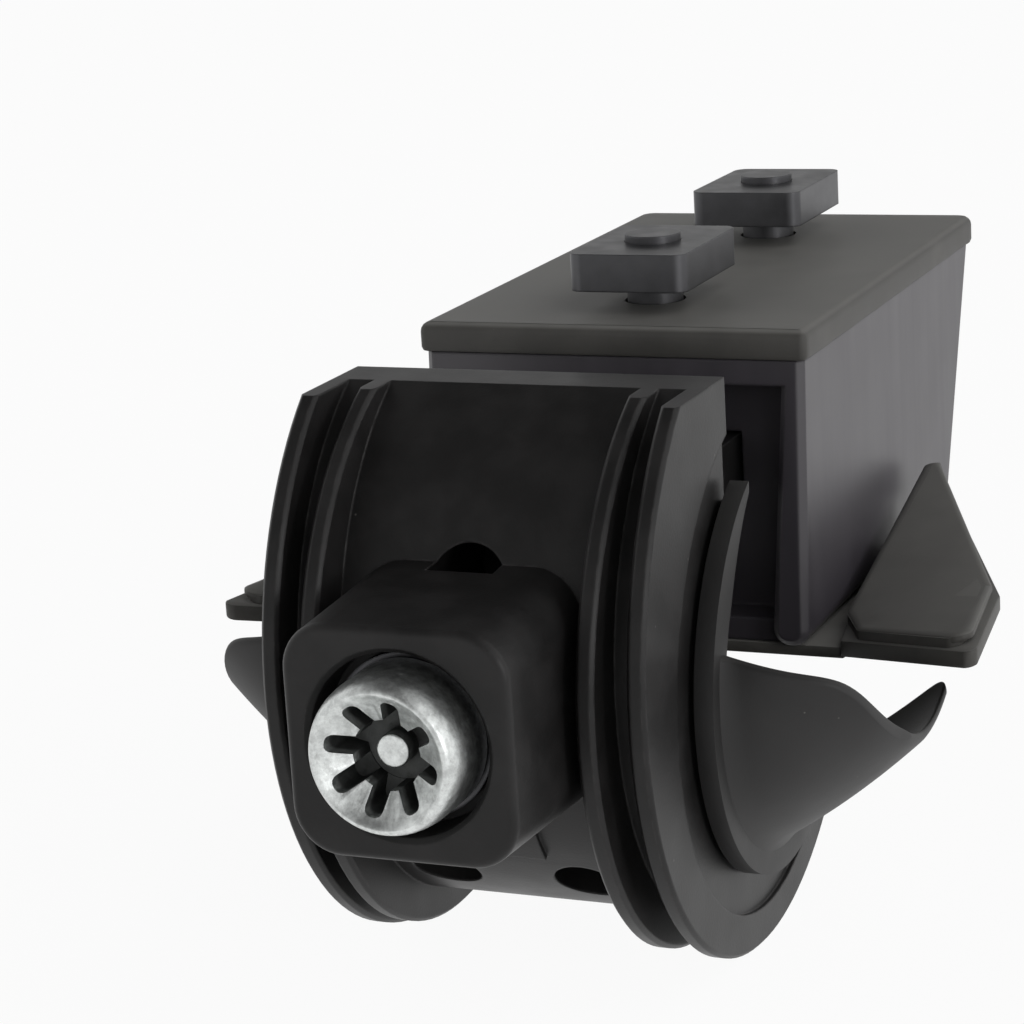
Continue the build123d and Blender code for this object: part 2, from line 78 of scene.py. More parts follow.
# The clamp bolt along its axis, from its head to its end
BOLT_Z = 0.3
BOLT_R = 3.0
HEAD_FRONT = -49.7
HEAD_SEAT = -42.1
BOLT_END = 44.0

# The socket in the bolt's head: a conical dish, a core with slots and a pin
DISH_R = 6.0
DISH_EDGE = 0.25
DISH_DEPTH = 2.0
SOCKET_TIP = 5.5
SOCKET_CORE = 3.3
SOCKET_FLOOR = -44.3
PIN_R = 1.6
PIN_TOP = -46.5
DISH_SLOPE = (DISH_DEPTH - DISH_EDGE) / (DISH_R - SOCKET_CORE)


def at(x, y, z):
    """Point given in millimetres from the drum axis, in the part's frame."""
    return Vector((x, y + DRUM_Y, z + DRUM_Z)) * MM


# Sizes and colours that a user would change
def length(name, description, default):
    """A length in metres."""
    return FloatProperty(
        name=name, description=description, default=default, unit="LENGTH", precision=5
    )


def colour(name, description, default):
    """A colour."""
    return FloatVectorProperty(
        name=name, description=description, default=default, subtype="COLOR", size=3, min=0, max=1
    )


def factor(name, description, default):
    """A share from nothing to all."""
    return FloatProperty(
        name=name, description=description, default=default, subtype="FACTOR", min=0, max=1
    )


def power(name, description, default):
    """A lamp's power in watts."""
    return FloatProperty(name=name, description=description, default=default, unit="POWER")


class FootLiner(bpy.types.PropertyGroup):
    """Sizes of the rubber liner"""

    wall: length("Wall", "Thickness of the liner's wall", 2.0 * MM)
    lip_round: length("Lip rounding", "Rounding of the lip's edges", 0.5 * MM)
    spout_wall: length("Spout wall", "Thickness of the spouts", 1.2 * MM)
    spout_reach: length("Spout reach", "Tip of a spout from the middle of the foot", 35.8 * MM)


class FootPad(bpy.types.PropertyGroup):
    """Sizes of the jaw pad"""

    ear_groove: length("Ear groove", "Depth of the groove round an ear", 0.8 * MM)
    ear_step: length("Ear step", "Width of the base that shows round the plate of an ear", 0.8 * MM)
    ear_round: length("Ear rounding", "Width of the rounded border of an ear", 0.7 * MM)


class FootGasket(bpy.types.PropertyGroup):
    """Sizes of the gasket"""

    edge_round: length("Edge rounding", "Rounding of the gasket's upper edge", 1.0 * MM)
    wave: length("Wave", "Height of the waves of the gasket's lower edge", 0.05 * MM)


class FootBolt(bpy.types.PropertyGroup):
    """Sizes of the clamp bolt"""

    head_diameter: length("Head diameter", "Diameter of the domed head", 14.8 * MM)
    slots: IntProperty(name="Slots", description="Slots of the socket, an even number", default=8, min=4)
    slot_width: length("Slot width", "Width of a slot of the socket", 1.75 * MM)
    slot_turn: factor("Slot turn", "Share of a slot's spacing by which the socket is turned", 0.29)
    pitch: length("Thread pitch", "Pitch of the bolt's thread", 1.0 * MM)


class FootFinish(bpy.types.PropertyGroup):
    """Colours of the finishes"""

    claw: colour("Claw", "Moulded plastic of the claw", (0.0100, 0.0095, 0.0095))
    support: colour("Support", "Moulded plastic of the support", (0.028, 0.025, 0.030))
    liner: colour("Liner rubber", "Rubber of the claw's liner", (0.015, 0.0145, 0.0145))
    # Pad rubber is paler than the liner's, partly as painted light on the lit ears and gasket
    pad: colour("Pad rubber", "Rubber of the jaw pad and the gasket", (0.052, 0.050, 0.046))
    steel: colour("Bolt steel", "Zinc plated steel of the clamp bolt", (0.62, 0.64, 0.63))
    fixing: colour("Fixing steel", "Plated steel of the small fixings", (0.10, 0.10, 0.105))
    dust: factor("Dust", "Amount of dust on plastic and rubber", 0.35)


class FootStage(bpy.types.PropertyGroup):
    """Light, floor and camera"""

    lens: FloatProperty(name="Lens", description="Focal length", default=105.17, unit="CAMERA")
    key_power: power("Key light", "Power of the key light", 0.9)
    edge_power: power("Edge light", "Power of the small light for the edges", 0.8)
    fill_power: power("Fill light", "Power of the fill light", 0.15)
    surround: factor("Surround", "Strength of the light from all round", 0.9)
    overhead: factor("Overhead", "Strength of the light in a dim band overhead", 0.05)


GROUPS = {
    "foot_liner": FootLiner,
    "foot_pad": FootPad,
    "foot_gasket": FootGasket,
    "foot_bolt": FootBolt,
    "foot_finish": FootFinish,
    "foot_stage": FootStage,
}


# Modelling helpers
def clear_selection():
    """Leave edit mode and deselect everything."""
    if bpy.context.mode != "OBJECT":
        bpy.ops.object.mode_set(mode="OBJECT")
    bpy.ops.object.select_all(action="DESELECT")


def make_active(piece):
    """Select one piece alone."""
    clear_selection()
    piece.select_set(True)
    bpy.context.view_layer.objects.active = piece


def edit_all(piece):
    """Open a piece in edit mode with all of it selected."""
    make_active(piece)
    bpy.ops.object.mode_set(mode="EDIT")
    bpy.ops.mesh.select_all(action="SELECT")


def edit_faces(piece, wanted):
    """Open a piece in edit mode with the wanted faces selected."""
    make_active(piece)
    for vertex in piece.data.vertices:
        vertex.select = False
    for edge in piece.data.edges:
        edge.select = False
    for face in piece.data.polygons:
        face.select = wanted(face)
    bpy.context.tool_settings.mesh_select_mode = (False, False, True)
    bpy.ops.object.mode_set(mode="EDIT")


def edit_edges(piece, wanted):
    """Open a piece in edit mode with the wanted edges selected."""
    make_active(piece)
    for face in piece.data.polygons:
        face.select = False
    for vertex in piece.data.vertices:
        vertex.select = False
    points = piece.data.vertices
    for edge in piece.data.edges:
        edge.select = wanted(points[edge.vertices[0]].co, points[edge.vertices[1]].co)
    bpy.context.tool_settings.mesh_select_mode = (False, True, False)
    bpy.ops.object.mode_set(mode="EDIT")


def upright(a, b):
    """Whether an edge between two points stands upright."""
    return abs(a.z - b.z) > MM


def bevel_edges(piece, wanted, width, segments):
    """Round the wanted edges of a piece."""
    edit_edges(piece, wanted)
    bpy.ops.mesh.bevel(offset=width, segments=segments, affect="EDGES")
    clear_selection()


def new_piece(name):
    """Name the primitive that was just added and put its place into its mesh."""
    piece = bpy.context.object
    piece.name = name
    piece.data.name = name
    bpy.ops.object.transform_apply(location=True, rotation=True, scale=True)
    return piece


def modify(piece, kind, **settings):
    """Add one modifier and apply it."""
    make_active(piece)
    modifier = piece.modifiers.new(kind.lower(), kind)
    for key, value in settings.items():
        setattr(modifier, key, value)
    bpy.ops.object.modifier_apply(modifier=modifier.name)


def round_edges(piece, width, segments=3, above=35):
    """Round every edge that turns by more than an angle."""
    modify(piece, "BEVEL", width=width, segments=segments, limit_method="ANGLE", angle_limit=radians(above))


def cut_away(piece, cutter):
    """Take a cutter's shape out of a piece."""
    modify(piece, "BOOLEAN", operation="DIFFERENCE", object=cutter, solver="EXACT")
    bpy.data.objects.remove(cutter)


def close_shell(piece):
    """Merge doubles, close open ends and turn the faces outwards."""
    edit_all(piece)
    bpy.ops.mesh.remove_doubles(threshold=0.002 * MM)
    bpy.ops.mesh.fill_holes(sides=0)
    bpy.ops.mesh.normals_make_consistent(inside=False)
    clear_selection()


def smooth(piece, angle=32):
    """Shade smooth up to an angle."""
    make_active(piece)
    bpy.ops.object.shade_smooth_by_angle(angle=radians(angle))


def join(pieces, name):
    """Join several pieces into one."""
    clear_selection()
    for piece in pieces:
        piece.select_set(True)
    bpy.context.view_layer.objects.active = pieces[0]
    bpy.ops.object.join()
    joined = bpy.context.object
    joined.name = name
    joined.data.name = name
    return joined


def mirrored(piece, name):
    """Copy of a piece on the other side of the foot."""
    make_active(piece)
    bpy.ops.object.duplicate()
    copy = bpy.context.object
    copy.scale = (-1, 1, 1)
    bpy.ops.object.transform_apply(location=True, rotation=True, scale=True)
    copy.name = name
    edit_all(copy)
    bpy.ops.mesh.normals_make_consistent(inside=False)
    clear_selection()
    return copy


def box(name, low, high):
    """Box between two corners."""
    clear_selection()
    bpy.ops.mesh.primitive_cube_add(size=1, location=(low + high) / 2, scale=high - low)
    return new_piece(name)


def rod(name, start, end, radius, sides=48):
    """Cylinder between two points."""
    clear_selection()
    run = end - start
    turn = run.to_track_quat("Z", "Y").to_euler()
    bpy.ops.mesh.primitive_cylinder_add(
        vertices=sides, radius=radius, depth=run.length, location=(start + end) / 2, rotation=turn
    )
    return new_piece(name)


def shaped_sheet(name, columns, rows, place_point):
    """Grid whose points are placed by a function of their shares across and along."""
    clear_selection()
    bpy.ops.mesh.primitive_grid_add(x_subdivisions=columns, y_subdivisions=rows, size=1)
    sheet = new_piece(name)
    for vertex in sheet.data.vertices:
        vertex.co = place_point(vertex.co.x + 0.5, vertex.co.y + 0.5)
    return sheet


def loop_piece(name, points):
    """Closed loop of edges through given points."""
    clear_selection()
    bpy.ops.mesh.primitive_circle_add(vertices=len(points), fill_type="NOTHING")
    loop = new_piece(name)
    for vertex, point in zip(loop.data.vertices, points):
        vertex.co = point
    return loop


def flat_piece(name, points):
    """Flat face through given points."""
    piece = loop_piece(name, points)
    edit_all(piece)
    bpy.ops.mesh.edge_face_add()
    clear_selection()
    return piece


def rounded_outline(corners, radii, steps=6):
    """Outline through rounded corners, given in order round a flat shape."""
    points = []
    for index, corner in enumerate(corners):
        before = (corners[index - 1] - corner).normalized()
        after = (corners[(index + 1) % len(corners)] - corner).normalized()
        half = before.angle(after) / 2
        middle = corner + (before + after).normalized() * radii[index] / sin(half)
        first = corner + before * radii[index] / tan(half) - middle
        last = corner + after * radii[index] / tan(half) - middle
        turn = first.angle(last)
        for step in range(steps + 1):
            share = step / steps
            swing = first * sin((1 - share) * turn) + last * sin(share * turn)
            points.append(middle + swing / sin(turn))
    return points


def turned(name, points, steps, centre, axis):
    """Shape turned from an outline that starts and ends on the axis."""
    piece = loop_piece(name, points)
    ends = (points[0], points[-1])
    edit_edges(piece, lambda a, b: a in ends and b in ends)
    bpy.ops.mesh.delete(type="EDGE")
    bpy.ops.mesh.select_all(action="SELECT")
    bpy.ops.mesh.spin(steps=steps, angle=2 * pi, center=centre, axis=axis)
    close_shell(piece)
    return piece


# Shader maths
class Wire:
    """A shader socket that takes part in Python arithmetic."""

    def __init__(self, tree, socket):
        self.tree = tree
        self.socket = socket

    def maths(self, operation, *values):
        """Math node on some values."""
        node = self.tree.nodes.new("ShaderNodeMath")
        node.operation = operation
        for target, value in zip(node.inputs, values):
            connect(self.tree, target, value)
        return Wire(self.tree, node.outputs[0])

    def __add__(self, other):
        return self.maths("ADD", self, other)

    def __radd__(self, other):
        return self.maths("ADD", other, self)

    def __sub__(self, other):
        return self.maths("SUBTRACT", self, other)

    def __rsub__(self, other):
        return self.maths("SUBTRACT", other, self)

    def __mul__(self, other):
        return self.maths("MULTIPLY", self, other)

    def __rmul__(self, other):
        return self.maths("MULTIPLY", other, self)

    def __gt__(self, other):
        return self.maths("GREATER_THAN", self, other)

    def __lt__(self, other):
        return self.maths("LESS_THAN", self, other)


def connect(tree, target, value):
    """Link a wire to a socket, or set the socket's own value."""
    if isinstance(value, Wire):
        tree.links.new(value.socket, target)
    elif hasattr(value, "__len__") and len(value) == 3 and target.type == "RGBA":
        target.default_value = (*value, 1)
    else:
        target.default_value = value


class Finish:
    """A procedural material, or the world, under construction."""

    def __init__(self, owner):
        owner.use_nodes = True
        self.owner = owner
        self.tree = owner.node_tree
        self.tree.nodes.clear()

    def node(self, kind, settings=None, sockets=None, output=0):
        """Any node: its settings are set first, then the values or links of its sockets."""
        made = self.tree.nodes.new(kind)
        for key, value in (settings or {}).items():
            setattr(made, key, value)
        for key, value in (sockets or {}).items():
            connect(self.tree, made.inputs[key], value)
        return Wire(self.tree, made.outputs[output]) if made.outputs else None

    def place(self):
        """Place in the part's frame."""
        return self.node("ShaderNodeTexCoord", output="Object")

    def along(self, axis):
        """Place along one axis of the part."""
        return self.node("ShaderNodeSeparateXYZ", sockets={"Vector": self.place()}, output=axis)

    def upwards(self):
        """How much a surface faces up, from nothing to one."""
        facing = self.node("ShaderNodeTexCoord", output="Normal")
        height = self.node("ShaderNodeSeparateXYZ", sockets={"Vector": facing}, output="Z")
        return self.between(height, 0.5, 0.95)

    def noise(self, size, detail=3, roughness=0.55, stretch=(1, 1, 1)):
        """Noise whose lumps are about a size across, stretched along the axes."""
        where = self.node("ShaderNodeMapping", sockets={
            "Vector": self.place(),
            "Scale": [1 / (size * share) for share in stretch],
        })
        return self.node("ShaderNodeTexNoise", sockets={
            "Vector": where, "Scale": 1, "Detail": detail, "Roughness": roughness,
        })

    def between(self, value, low, high):
        """How far a value is from a low to a high one, eased from nothing to one."""
        sockets = {"Value": value, "From Min": low, "From Max": high}
        return self.node("ShaderNodeMapRange", {"interpolation_type": "SMOOTHSTEP"}, sockets)

    def mix(self, share, first, second):
        """Colour between two colours."""
        return self.node("ShaderNodeMix", {"data_type": "RGBA"}, {0: share, 6: first, 7: second}, 2)

    def specks(self, cell, radius, share):
        """Small round specks in some cells of a given size."""
        settings = {"feature": "F1"}
        sockets = {"Vector": self.place(), "Scale": 1 / cell}
        distance = self.node("ShaderNodeTexVoronoi", settings, sockets, "Distance")
        tint = self.node("ShaderNodeTexVoronoi", settings, sockets, "Color")
        chance = self.node("ShaderNodeSeparateColor", sockets={"Color": tint})
        inside = self.between(distance, radius / cell, 0.5 * radius / cell)
        return inside * (chance < share)

    def rounded(self, radius):
        """Normal of a surface whose sharp edges are rounded a little."""
        return self.node("ShaderNodeBevel", {"samples": 4}, {"Radius": radius})

    def edge_wear_and_highlight(self, rounded):
        """How much a place is on a sharp edge, from nothing to one."""
        facing = self.node("ShaderNodeNewGeometry", output="Normal")
        both = {0: rounded, 1: facing}
        match = self.node("ShaderNodeVectorMath", {"operation": "DOT_PRODUCT"}, both, "Value")
        return self.between(match, 0.99, 0.80)

    def bump(self, height, depth, strength, after=None):
        """Normal of a surface with a relief of a given depth."""
        sockets = {"Height": height, "Distance": depth, "Strength": strength}
        if after is not None:
            sockets["Normal"] = after
        return self.node("ShaderNodeBump", sockets=sockets)

    def surface(self, **sockets):
        """Close the material with a principled shader."""
        names = {key.replace("_", " "): value for key, value in sockets.items()}
        shader = self.node("ShaderNodeBsdfPrincipled", sockets=names)
        self.node("ShaderNodeOutputMaterial", sockets={"Surface": shader})
        return self.owner


def lighter(tone, times):
    """A colour made lighter, or darker where the factor is below one."""
    return tuple(min(1, channel * times) for channel in tone)


# Finishes
def satin_plastic():
    """Black satin plastic with a fine grain, dust, and pale edges that are partly worn and partly a painted
    highlight.
    """
    tones = bpy.context.scene.foot_finish
    made = Finish(bpy.data.materials.new("satin_plastic"))
    cloud = made.noise(6 * MM)
    grain = made.noise(0.28 * MM, detail=2)
    rounded = made.rounded(0.35 * MM)
    # Pale edges: partly worn plastic, partly a painted highlight along the rims
    wear_and_edge_highlight = made.edge_wear_and_highlight(rounded) * made.between(made.noise(2 * MM), 0.35, 0.65)
    dust = made.specks(cell=3.2 * MM, radius=0.16 * MM, share=0.16) * tones.dust
    worn_and_highlight_tone = lighter(tones.claw, 10)
    dust_tone = (0.22, 0.21, 0.20)
    base = made.mix(made.between(cloud, 0.35, 0.7), tones.claw, lighter(tones.claw, 1.7))
    base = made.mix(wear_and_edge_highlight * 0.6, base, worn_and_highlight_tone)
    base = made.mix(dust, base, dust_tone)
    rough = 0.34 + 0.18 * cloud + 0.08 * wear_and_edge_highlight
    normal = made.bump(grain, depth=0.022 * MM, strength=0.7, after=rounded)
    return made.surface(Base_Color=base, Roughness=rough, Normal=normal, Specular_IOR_Level=0.27)


def glossy_plastic():
    """Dark glossy plastic with soft streaks along the draw of the mould; their lighter bands are partly
    painted sheen.
    """
    tones = bpy.context.scene.foot_finish
    made = Finish(bpy.data.materials.new("glossy_plastic"))
    streak_and_sheen = made.noise(3.2 * MM, detail=2, stretch=(1, 1, 14))
    cloud = made.noise(9 * MM)
    grain = made.noise(0.35 * MM, detail=2)
    dust = made.specks(cell=4.5 * MM, radius=0.15 * MM, share=0.14) * tones.dust
    dust_tone = (0.24, 0.23, 0.22)
    # Lighter vertical bands: partly mould streaks, partly painted sheen
    base = made.mix(streak_and_sheen, tones.support, lighter(tones.support, 1.8))
    base = made.mix(dust, base, dust_tone)
    rough = 0.32 + 0.14 * streak_and_sheen + 0.06 * cloud
    normal = made.bump(grain, depth=0.006 * MM, strength=0.5, after=made.rounded(0.45 * MM))
    return made.surface(Base_Color=base, Roughness=rough, Normal=normal, Specular_IOR_Level=0.65)


def rubber(name, tone, top_dust_and_light):
    """Matte rubber with mottling, specks of dust, and a paler tone on what faces up that is partly dust and
    partly painted top light.
    """
    tones = bpy.context.scene.foot_finish
    made = Finish(bpy.data.materials.new(name))
    cloud = made.noise(5 * MM, detail=4)
    grain = made.noise(0.22 * MM, detail=2)
    dust = made.specks(cell=2.6 * MM, radius=0.13 * MM, share=0.14) * tones.dust
    bloom = made.between(made.noise(11 * MM, detail=5), 0.45, 0.72)
    # What faces up is paler: partly dust, partly painted top light
    top_dust_and_light_mask = top_dust_and_light * made.upwards() * (0.55 + 0.4 * cloud)
    top_dust_and_light_tone = (0.21, 0.207, 0.196)
    dust_tone = (0.24, 0.23, 0.21)
    base = made.mix(cloud, lighter(tone, 0.7), lighter(tone, 1.4))
    base = made.mix(bloom * 0.3, base, lighter(tone, 2))
    base = made.mix(top_dust_and_light_mask, base, top_dust_and_light_tone)
    base = made.mix(dust, base, dust_tone)
    rough = 0.46 + 0.16 * cloud
    normal = made.bump(grain, depth=0.014 * MM, strength=0.7)
    return made.surface(Base_Color=base, Roughness=rough, Normal=normal, Specular_IOR_Level=0.38)


def liner_rubber():
    """Rubber of the claw's liner."""
    return rubber("liner_rubber", bpy.context.scene.foot_finish.liner, top_dust_and_light=0.1)


def pad_rubber():
    """Paler rubber of the jaw pad and the gasket; the paleness is partly painted light on their lit faces.
    """
    return rubber("pad_rubber", bpy.context.scene.foot_finish.pad, top_dust_and_light=0.8)


def zinc_steel():
    """Bright zinc plate with dings, dull patches, dirt, and painted shade inside the socket."""
    tones = bpy.context.scene.foot_finish
    made = Finish(bpy.data.materials.new("zinc_steel"))
    middle = at(0, HEAD_FRONT, BOLT_Z)
    across = made.along("X")
    above = made.along("Z") - middle.z
    radius = across.maths("SQRT", across * across + above * above)
    inwards = made.along("Y") - middle.y
    sunk = inwards - DISH_EDGE * MM - DISH_SLOPE * (DISH_R * MM - radius)
    reach = SOCKET_TIP + 0.3
    floor = SOCKET_FLOOR - HEAD_FRONT + 0.2
    # Mask of the socket's dish and slots, where painted shade darkens the steel
    socket = made.between(sunk, 0.2 * MM, 1.5 * MM) * (radius < reach * MM) * (inwards < floor * MM)
    patch = made.noise(1.0 * MM, detail=6, roughness=0.7)
    ding = made.noise(0.8 * MM, detail=5, roughness=0.7)
    dirt = made.between(made.noise(0.9 * MM, detail=6, roughness=0.7), 0.54, 0.70)
    chip = made.specks(cell=1.1 * MM, radius=0.12 * MM, share=0.3)
    dirt_tone = (0.13, 0.127, 0.115)
    chip_tone = (0.92, 0.92, 0.90)
    painted_socket_shade_tone = (0.03, 0.031, 0.03)
    base = made.mix(made.between(patch, 0.3, 0.7), lighter(tones.steel, 0.8), lighter(tones.steel, 1.3))
    base = made.mix(dirt * 0.25, base, dirt_tone)
    base = made.mix(chip * 0.7, base, chip_tone)
    # Painted shade: the steel inside the socket is darkened as if shadow fell there
    base = made.mix(socket * 0.9, base, painted_socket_shade_tone)
    rough = 0.30 + 0.14 * patch + 0.12 * dirt + 0.2 * socket
    normal = made.bump(ding, depth=0.08 * MM, strength=0.55)
    return made.surface(Base_Color=base, Roughness=rough, Metallic=1, Normal=normal)


def dark_steel():
    """Duller plated steel of the small fixings."""
    tones = bpy.context.scene.foot_finish
    made = Finish(bpy.data.materials.new("dark_steel"))
    patch = made.noise(2.5 * MM, detail=4)
    grain = made.noise(0.4 * MM, detail=3)
    base = made.mix(patch, lighter(tones.fixing, 0.75), lighter(tones.fixing, 1.15))
    rough = 0.30 + 0.20 * patch
    normal = made.bump(grain, depth=0.01 * MM, strength=0.5, after=made.rounded(0.25 * MM))
    return made.surface(Base_Color=base, Roughness=rough, Metallic=1, Normal=normal)


FINISHES = {
    "satin_plastic": satin_plastic,
    "glossy_plastic": glossy_plastic,
    "liner_rubber": liner_rubber,
    "pad_rubber": pad_rubber,
    "zinc_steel": zinc_steel,
    "dark_steel": dark_steel,
}


def paint(piece, finish):
    """Give a piece one finish, made the first time that it is asked for."""
    made = bpy.data.materials.get(finish) or FINISHES[finish]()
    piece.data.materials.clear()
    piece.data.materials.append(made)


def seat(piece, body, node, finish):
    """A new piece rides on a body, stands for a CAD node and takes its finish."""
    paint(piece, finish)
    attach(piece, body)
    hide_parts(node)


# Liner of the claw, with angles in degrees round the axis of its mouth
MOUTH_Y = 0.5
MOUTH_Z = -4.0
LINER_OUTER = 20.25
LIP_OUTER = 22.0
LIP_X = 19.35
SPOUT_X = 21.25
CLAW_TOP_Y = -8.5
HOOK_END = 310
BOLT_WAY = 3.35
ARM_MIDDLE = 10.2
ARM_NOTCH = 4.6
ARM_LOW = 8.7


def round_mouth(x, radius, angle, lift=0.0, lean=0.0):
    """Point on a circle round the mouth's axis."""
    turn = radians(angle)
    return at(x, MOUTH_Y + lean + radius * cos(turn), MOUTH_Z + lift + radius * sin(turn))


def narrow_lips(wall, inner):
    """Draw the inner edge of each lip outwards towards the lip's upper end."""
    axis = at(0, MOUTH_Y, MOUTH_Z)
    full_at = 150
    narrow_at = 114
    narrow_lip = 0.8
    for vertex in wall.data.vertices:
        arm = Vector((0, vertex.co.y - axis.y, vertex.co.z - axis.z))
        angle = degrees(atan2(arm.z, arm.y))
        edge = abs(vertex.co.x) > LIP_X * MM + NEAR and arm.length < inner * MM + NEAR
        if edge and 0 < angle < full_at:
            share = min(1, (full_at - angle) / (full_at - narrow_at))
            vertex.co += arm.normalized() * (LIP_OUTER - inner - narrow_lip) * share**1.5 * MM


def liner_wall(sizes):
    """Curved wall of the liner with a lip at each side."""
    inner = LINER_OUTER - sizes.wall / MM
    section = [
        (-SPOUT_X, inner), (-LIP_X, inner), (LIP_X, inner), (SPOUT_X, inner), (SPOUT_X, LIP_OUTER),
        (LIP_X, LIP_OUTER), (LIP_X, LINER_OUTER), (-LIP_X, LINER_OUTER), (-LIP_X, LIP_OUTER),
        (-SPOUT_X, LIP_OUTER),
    ]
    wall_start = 110
    inside = 5
    far = 30
    wall = loop_piece("liner_wall", [round_mouth(x, radius, wall_start) for x, radius in section])
    edit_all(wall)
    sweep = radians(wall_start - HOOK_END)
    bpy.ops.mesh.spin(steps=120, angle=sweep, center=at(0, MOUTH_Y, MOUTH_Z), axis=(1, 0, 0))
    close_shell(wall)
    narrow_lips(wall, inner)
    cut_away(wall, box("past_claw", at(-far, CLAW_TOP_Y, inside), at(far, inside, far)))
    cut_away(wall, rod("bolt_way", at(0, -far, BOLT_Z), at(0, 0, BOLT_Z), BOLT_WAY * MM))
    for sign in SIDES:
        low = at(sign * ARM_MIDDLE - ARM_NOTCH / 2, -far, ARM_LOW)
        high = at(sign * ARM_MIDDLE + ARM_NOTCH / 2, 0, far)
        cut_away(wall, box("arm_way", low, high))
    round_edges(wall, sizes.lip_round, above=40)
    return wall


def spout_shape(sizes):
    """Thin flared trough that rises from the lip to its tip."""
    reach = sizes.spout_reach / MM
    wall = sizes.spout_wall / MM
    root_x = SPOUT_X - 0.8
    root_r = 18.8
    tip_r = 16.1
    rise = 9.2
    lean = 0.5
    belly = 3.0
    flare = 1.5
    flare_share = 0.18
    edge_span = 0.014
    tip_span = 0.03
    upper_edge = 162.5
    upper_slope = 38
    upper_tip = 45
    lower_edge = 304.5
    lower_root = 4
    lower_tip = 9

    def rounding(share):
        """Thickness of a rounded edge, from nothing at the edge to all of it."""
        return sqrt(1 - max(0, 1 - share) ** 2)

    def place_point(across, along):
        """Across runs out over the outside and back over the inside, along from edge to edge."""
        outside = across <= 0.5
        run = sin(pi * min(across, 1 - across))
        share = (1 - cos(pi * along)) / 2
        start = upper_edge + upper_slope * run + upper_tip * run**10.5
        end = lower_edge + lower_root * (1 - run) ** 4 - lower_tip * run**24
        radius = root_r + (tip_r - root_r) * run + belly * run * (1 - run)
        thick = wall * rounding(min(share, 1 - share) / edge_span) * rounding((1 - run) / tip_span)
        radius += thick / 2 if outside else -thick / 2
        if outside:
            root = max(0, 1 - run / flare_share) ** 2.2
            radius += flare * root * rounding(min(share, 1 - share) / edge_span)
        angle = start + share * (end - start)
        return round_mouth(root_x + (reach - root_x) * run, radius, angle, rise * run, lean * run)

    spout = shaped_sheet("spout", columns=72, rows=72, place_point=place_point)
    close_shell(spout)
    return spout


class FOOT_OT_liner(bpy.types.Operator):
    """Rubber liner of the claw with its lips and spouts"""

    bl_idname = "foot.liner"
    bl_label = "Claw liner"

    def execute(self, context):
        sizes = context.scene.foot_liner
        wall = liner_wall(sizes)
        spout = spout_shape(sizes)
        liner = join([wall, spout, mirrored(spout, "other_spout")], "liner")
        smooth(liner)
        seat(liner, "claw", "claw_liner", "liner_rubber")
        return {"FINISHED"}


# Jaw pad of the support
PAD_TOP = -6.55
PAD_T = 1.3
PAD_FRONT = 11.4
PAD_REAR = 50.9
PAD_HALF = 24.2
PAD_CORNER = 4.0
EAR_ROOT_X = 22.6
EAR_FRONT = Vector((EAR_ROOT_X, 17.8, -4.8))
EAR_REAR = Vector((EAR_ROOT_X, PAD_REAR, 3.2))
EAR_TIP = Vector((38.5, 20.0, -1.3))
EAR_NOSE = Vector((41.3, -2.0, -0.5))


def slab(name, outline, move):
    """Flat outline drawn out along a move."""
    piece = flat_piece(name, outline)
    edit_all(piece)
    bpy.ops.mesh.extrude_region_move(TRANSFORM_OT_translate={"value": move})
    close_shell(piece)
    return piece


def crown_top(piece, steps):
    """Crown the topmost face by insets that rise a little each time."""
    top = max(face.center.z for face in piece.data.polygons)
    edit_faces(piece, lambda face: face.center.z > top - NEAR)
    for width, rise in steps:
        bpy.ops.mesh.inset(thickness=width, depth=rise)
    clear_selection()


def ear_height(x, y):
    """Height of the top of an ear, which has two slopes that meet in a fold."""
    heights = []
    for third in (EAR_NOSE, EAR_REAR):
        across = (EAR_TIP - EAR_FRONT).cross(third - EAR_FRONT)
        lean = (x - EAR_FRONT.x) * across.x + (y - EAR_FRONT.y) * across.y
        heights.append(EAR_FRONT.z - lean / across.z)
    return max(heights)


def ear_layer(name, plan, radii, low, high):
    """Level layer between two depths, on rounded corners given in plan."""
    corners = [at(x, y, -low) for x, y in plan]
    outline = rounded_outline(corners, [radius * MM for radius in radii])
    return slab(name, outline, (0, 0, (low - high) * MM))


def fold_ear(piece):
    """Cut a level piece along the ear's fold and lift it onto the slopes."""
    fold = EAR_TIP - EAR_FRONT
    edit_all(piece)
    bpy.ops.mesh.bisect(plane_co=at(*EAR_FRONT), plane_no=(fold.y, -fold.x, 0))
    clear_selection()
    for vertex in piece.data.vertices:
        vertex.co.z += ear_height(vertex.co.x / MM, vertex.co.y / MM - DRUM_Y) * MM


